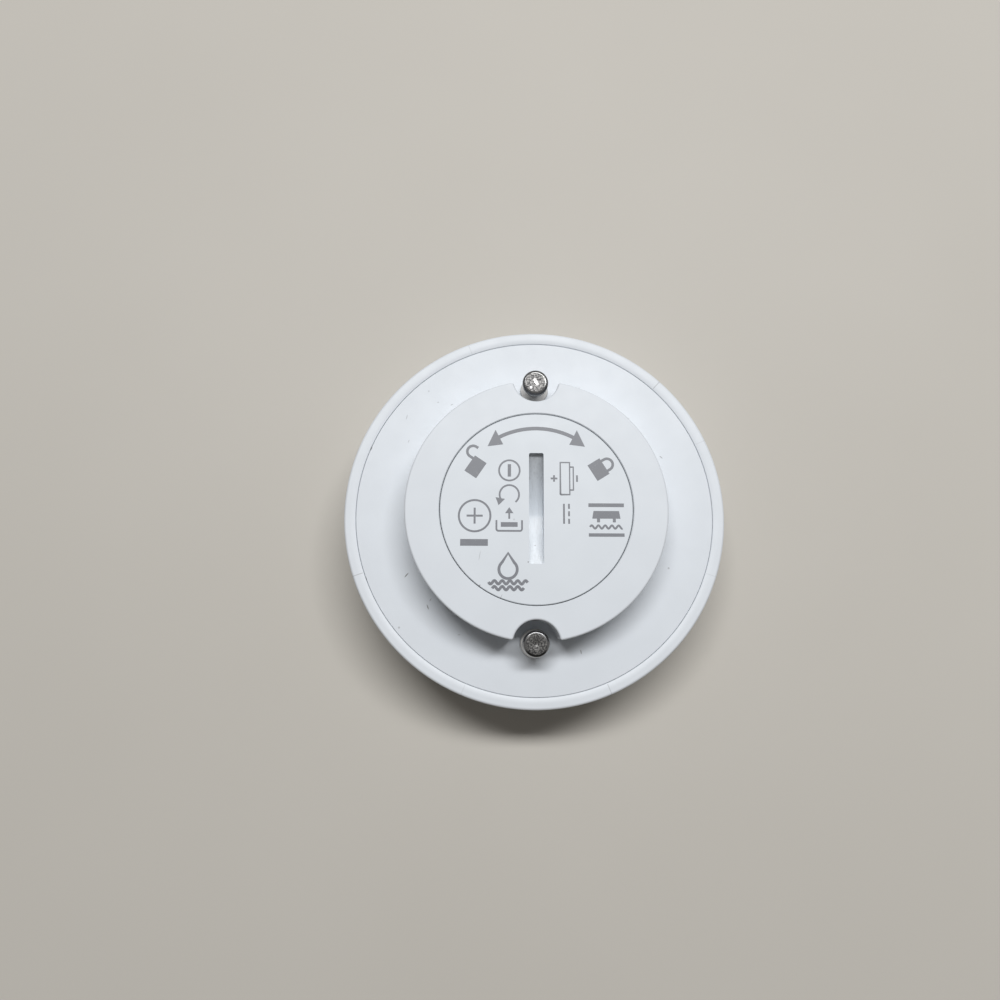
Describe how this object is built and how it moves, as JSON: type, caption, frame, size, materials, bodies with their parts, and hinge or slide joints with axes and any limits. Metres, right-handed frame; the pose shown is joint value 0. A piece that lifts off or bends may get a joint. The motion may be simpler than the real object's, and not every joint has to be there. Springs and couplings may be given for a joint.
{
  "type": "water leak sensor",
  "caption": "Round puck leak sensor with a raised foot, probe studs in notches, a coin-slot battery door and a front push button.",
  "frame": {"origin": "middle of the front face, which lies on the surface as the picture shows the sensor, underside up", "axes": "+Z out of the underside along the foot and door axis; +Y from the middle towards probe_1; +X to the right in the picture"},
  "size_m": [0.06, 0.06, 0.02],
  "materials": {
    "casing": "satin white ABS",
    "back_moulding": "satin white ABS, lightly marked",
    "door": "satin white ABS with grey printed pictograms",
    "button": "satin white ABS",
    "seal_rubber": "matt silicone",
    "cell_steel": "bright nickel-plated steel",
    "cell_insulator": "natural polypropylene",
    "cell_filling": "pressed powder",
    "contact_spring": "nickel-plated spring strip",
    "board": "green solder mask",
    "screw_steel": "zinc-plated steel",
    "switch_black": "black nylon",
    "switch_red": "dark nylon",
    "lamp": "moulded lamp body with a clear dome",
    "clear_plastic": "clear acrylic rod, frosted at the face",
    "shield_tin": "tin-plated sheet",
    "copper_track": "gold-flashed copper",
    "chip_black": "moulded epoxy",
    "capacitor_ceramic": "ceramic body",
    "probe_steel": "turned stainless steel"
  },
  "bodies": {
    "housing": {"front_shell": "casing", "base_plate": "back_moulding", "shell_seal": "seal_rubber", "cell_can": "cell_steel", "cell_cap": "cell_steel", "cell_gasket": "cell_insulator", "cell_core": "cell_filling", "positive_contact": "contact_spring", "negative_contact": "contact_spring", "circuit_board": "board", "board_screws": "screw_steel", "switch_body": "switch_black", "status_led": "lamp", "light_guide": "clear_plastic", "radio_board": "board", "radio_shield": "shield_tin", "radio_antenna": "copper_track", "sense_chip": "chip_black", "board_capacitors": "capacitor_ceramic", "probe_1": "probe_steel", "probe_2": "probe_steel", "probe_seal_1": "seal_rubber", "probe_seal_2": "seal_rubber", "probe_nut_1": "screw_steel", "probe_nut_2": "screw_steel", "probe_spring_1": "contact_spring", "probe_spring_2": "contact_spring"},
    "door": {"battery_door": "door", "door_seal": "seal_rubber"},
    "button": {"front_button": "button"},
    "plunger": {"switch_plunger": "switch_red"}
  },
  "joints": [
    {"name": "door_turn", "type": "hinge", "parent": "housing", "child": "door", "pos_m": [0, 0, 0.02], "axis": [0, 0, 1], "range_deg": [0, 45]},
    {"name": "button_press", "type": "slide", "parent": "housing", "child": "button", "axis": [0, 0, 1], "range_m": [0, 0.00035], "stiffness_N_per_m": 3000},
    {"name": "plunger_press", "type": "slide", "parent": "housing", "child": "plunger", "axis": [0, 0, 1], "range_m": [0, 0.00035]}
  ],
  "couplings": [
    {"joint": "plunger_press", "follows": "button_press", "ratio": 1}
  ]
}
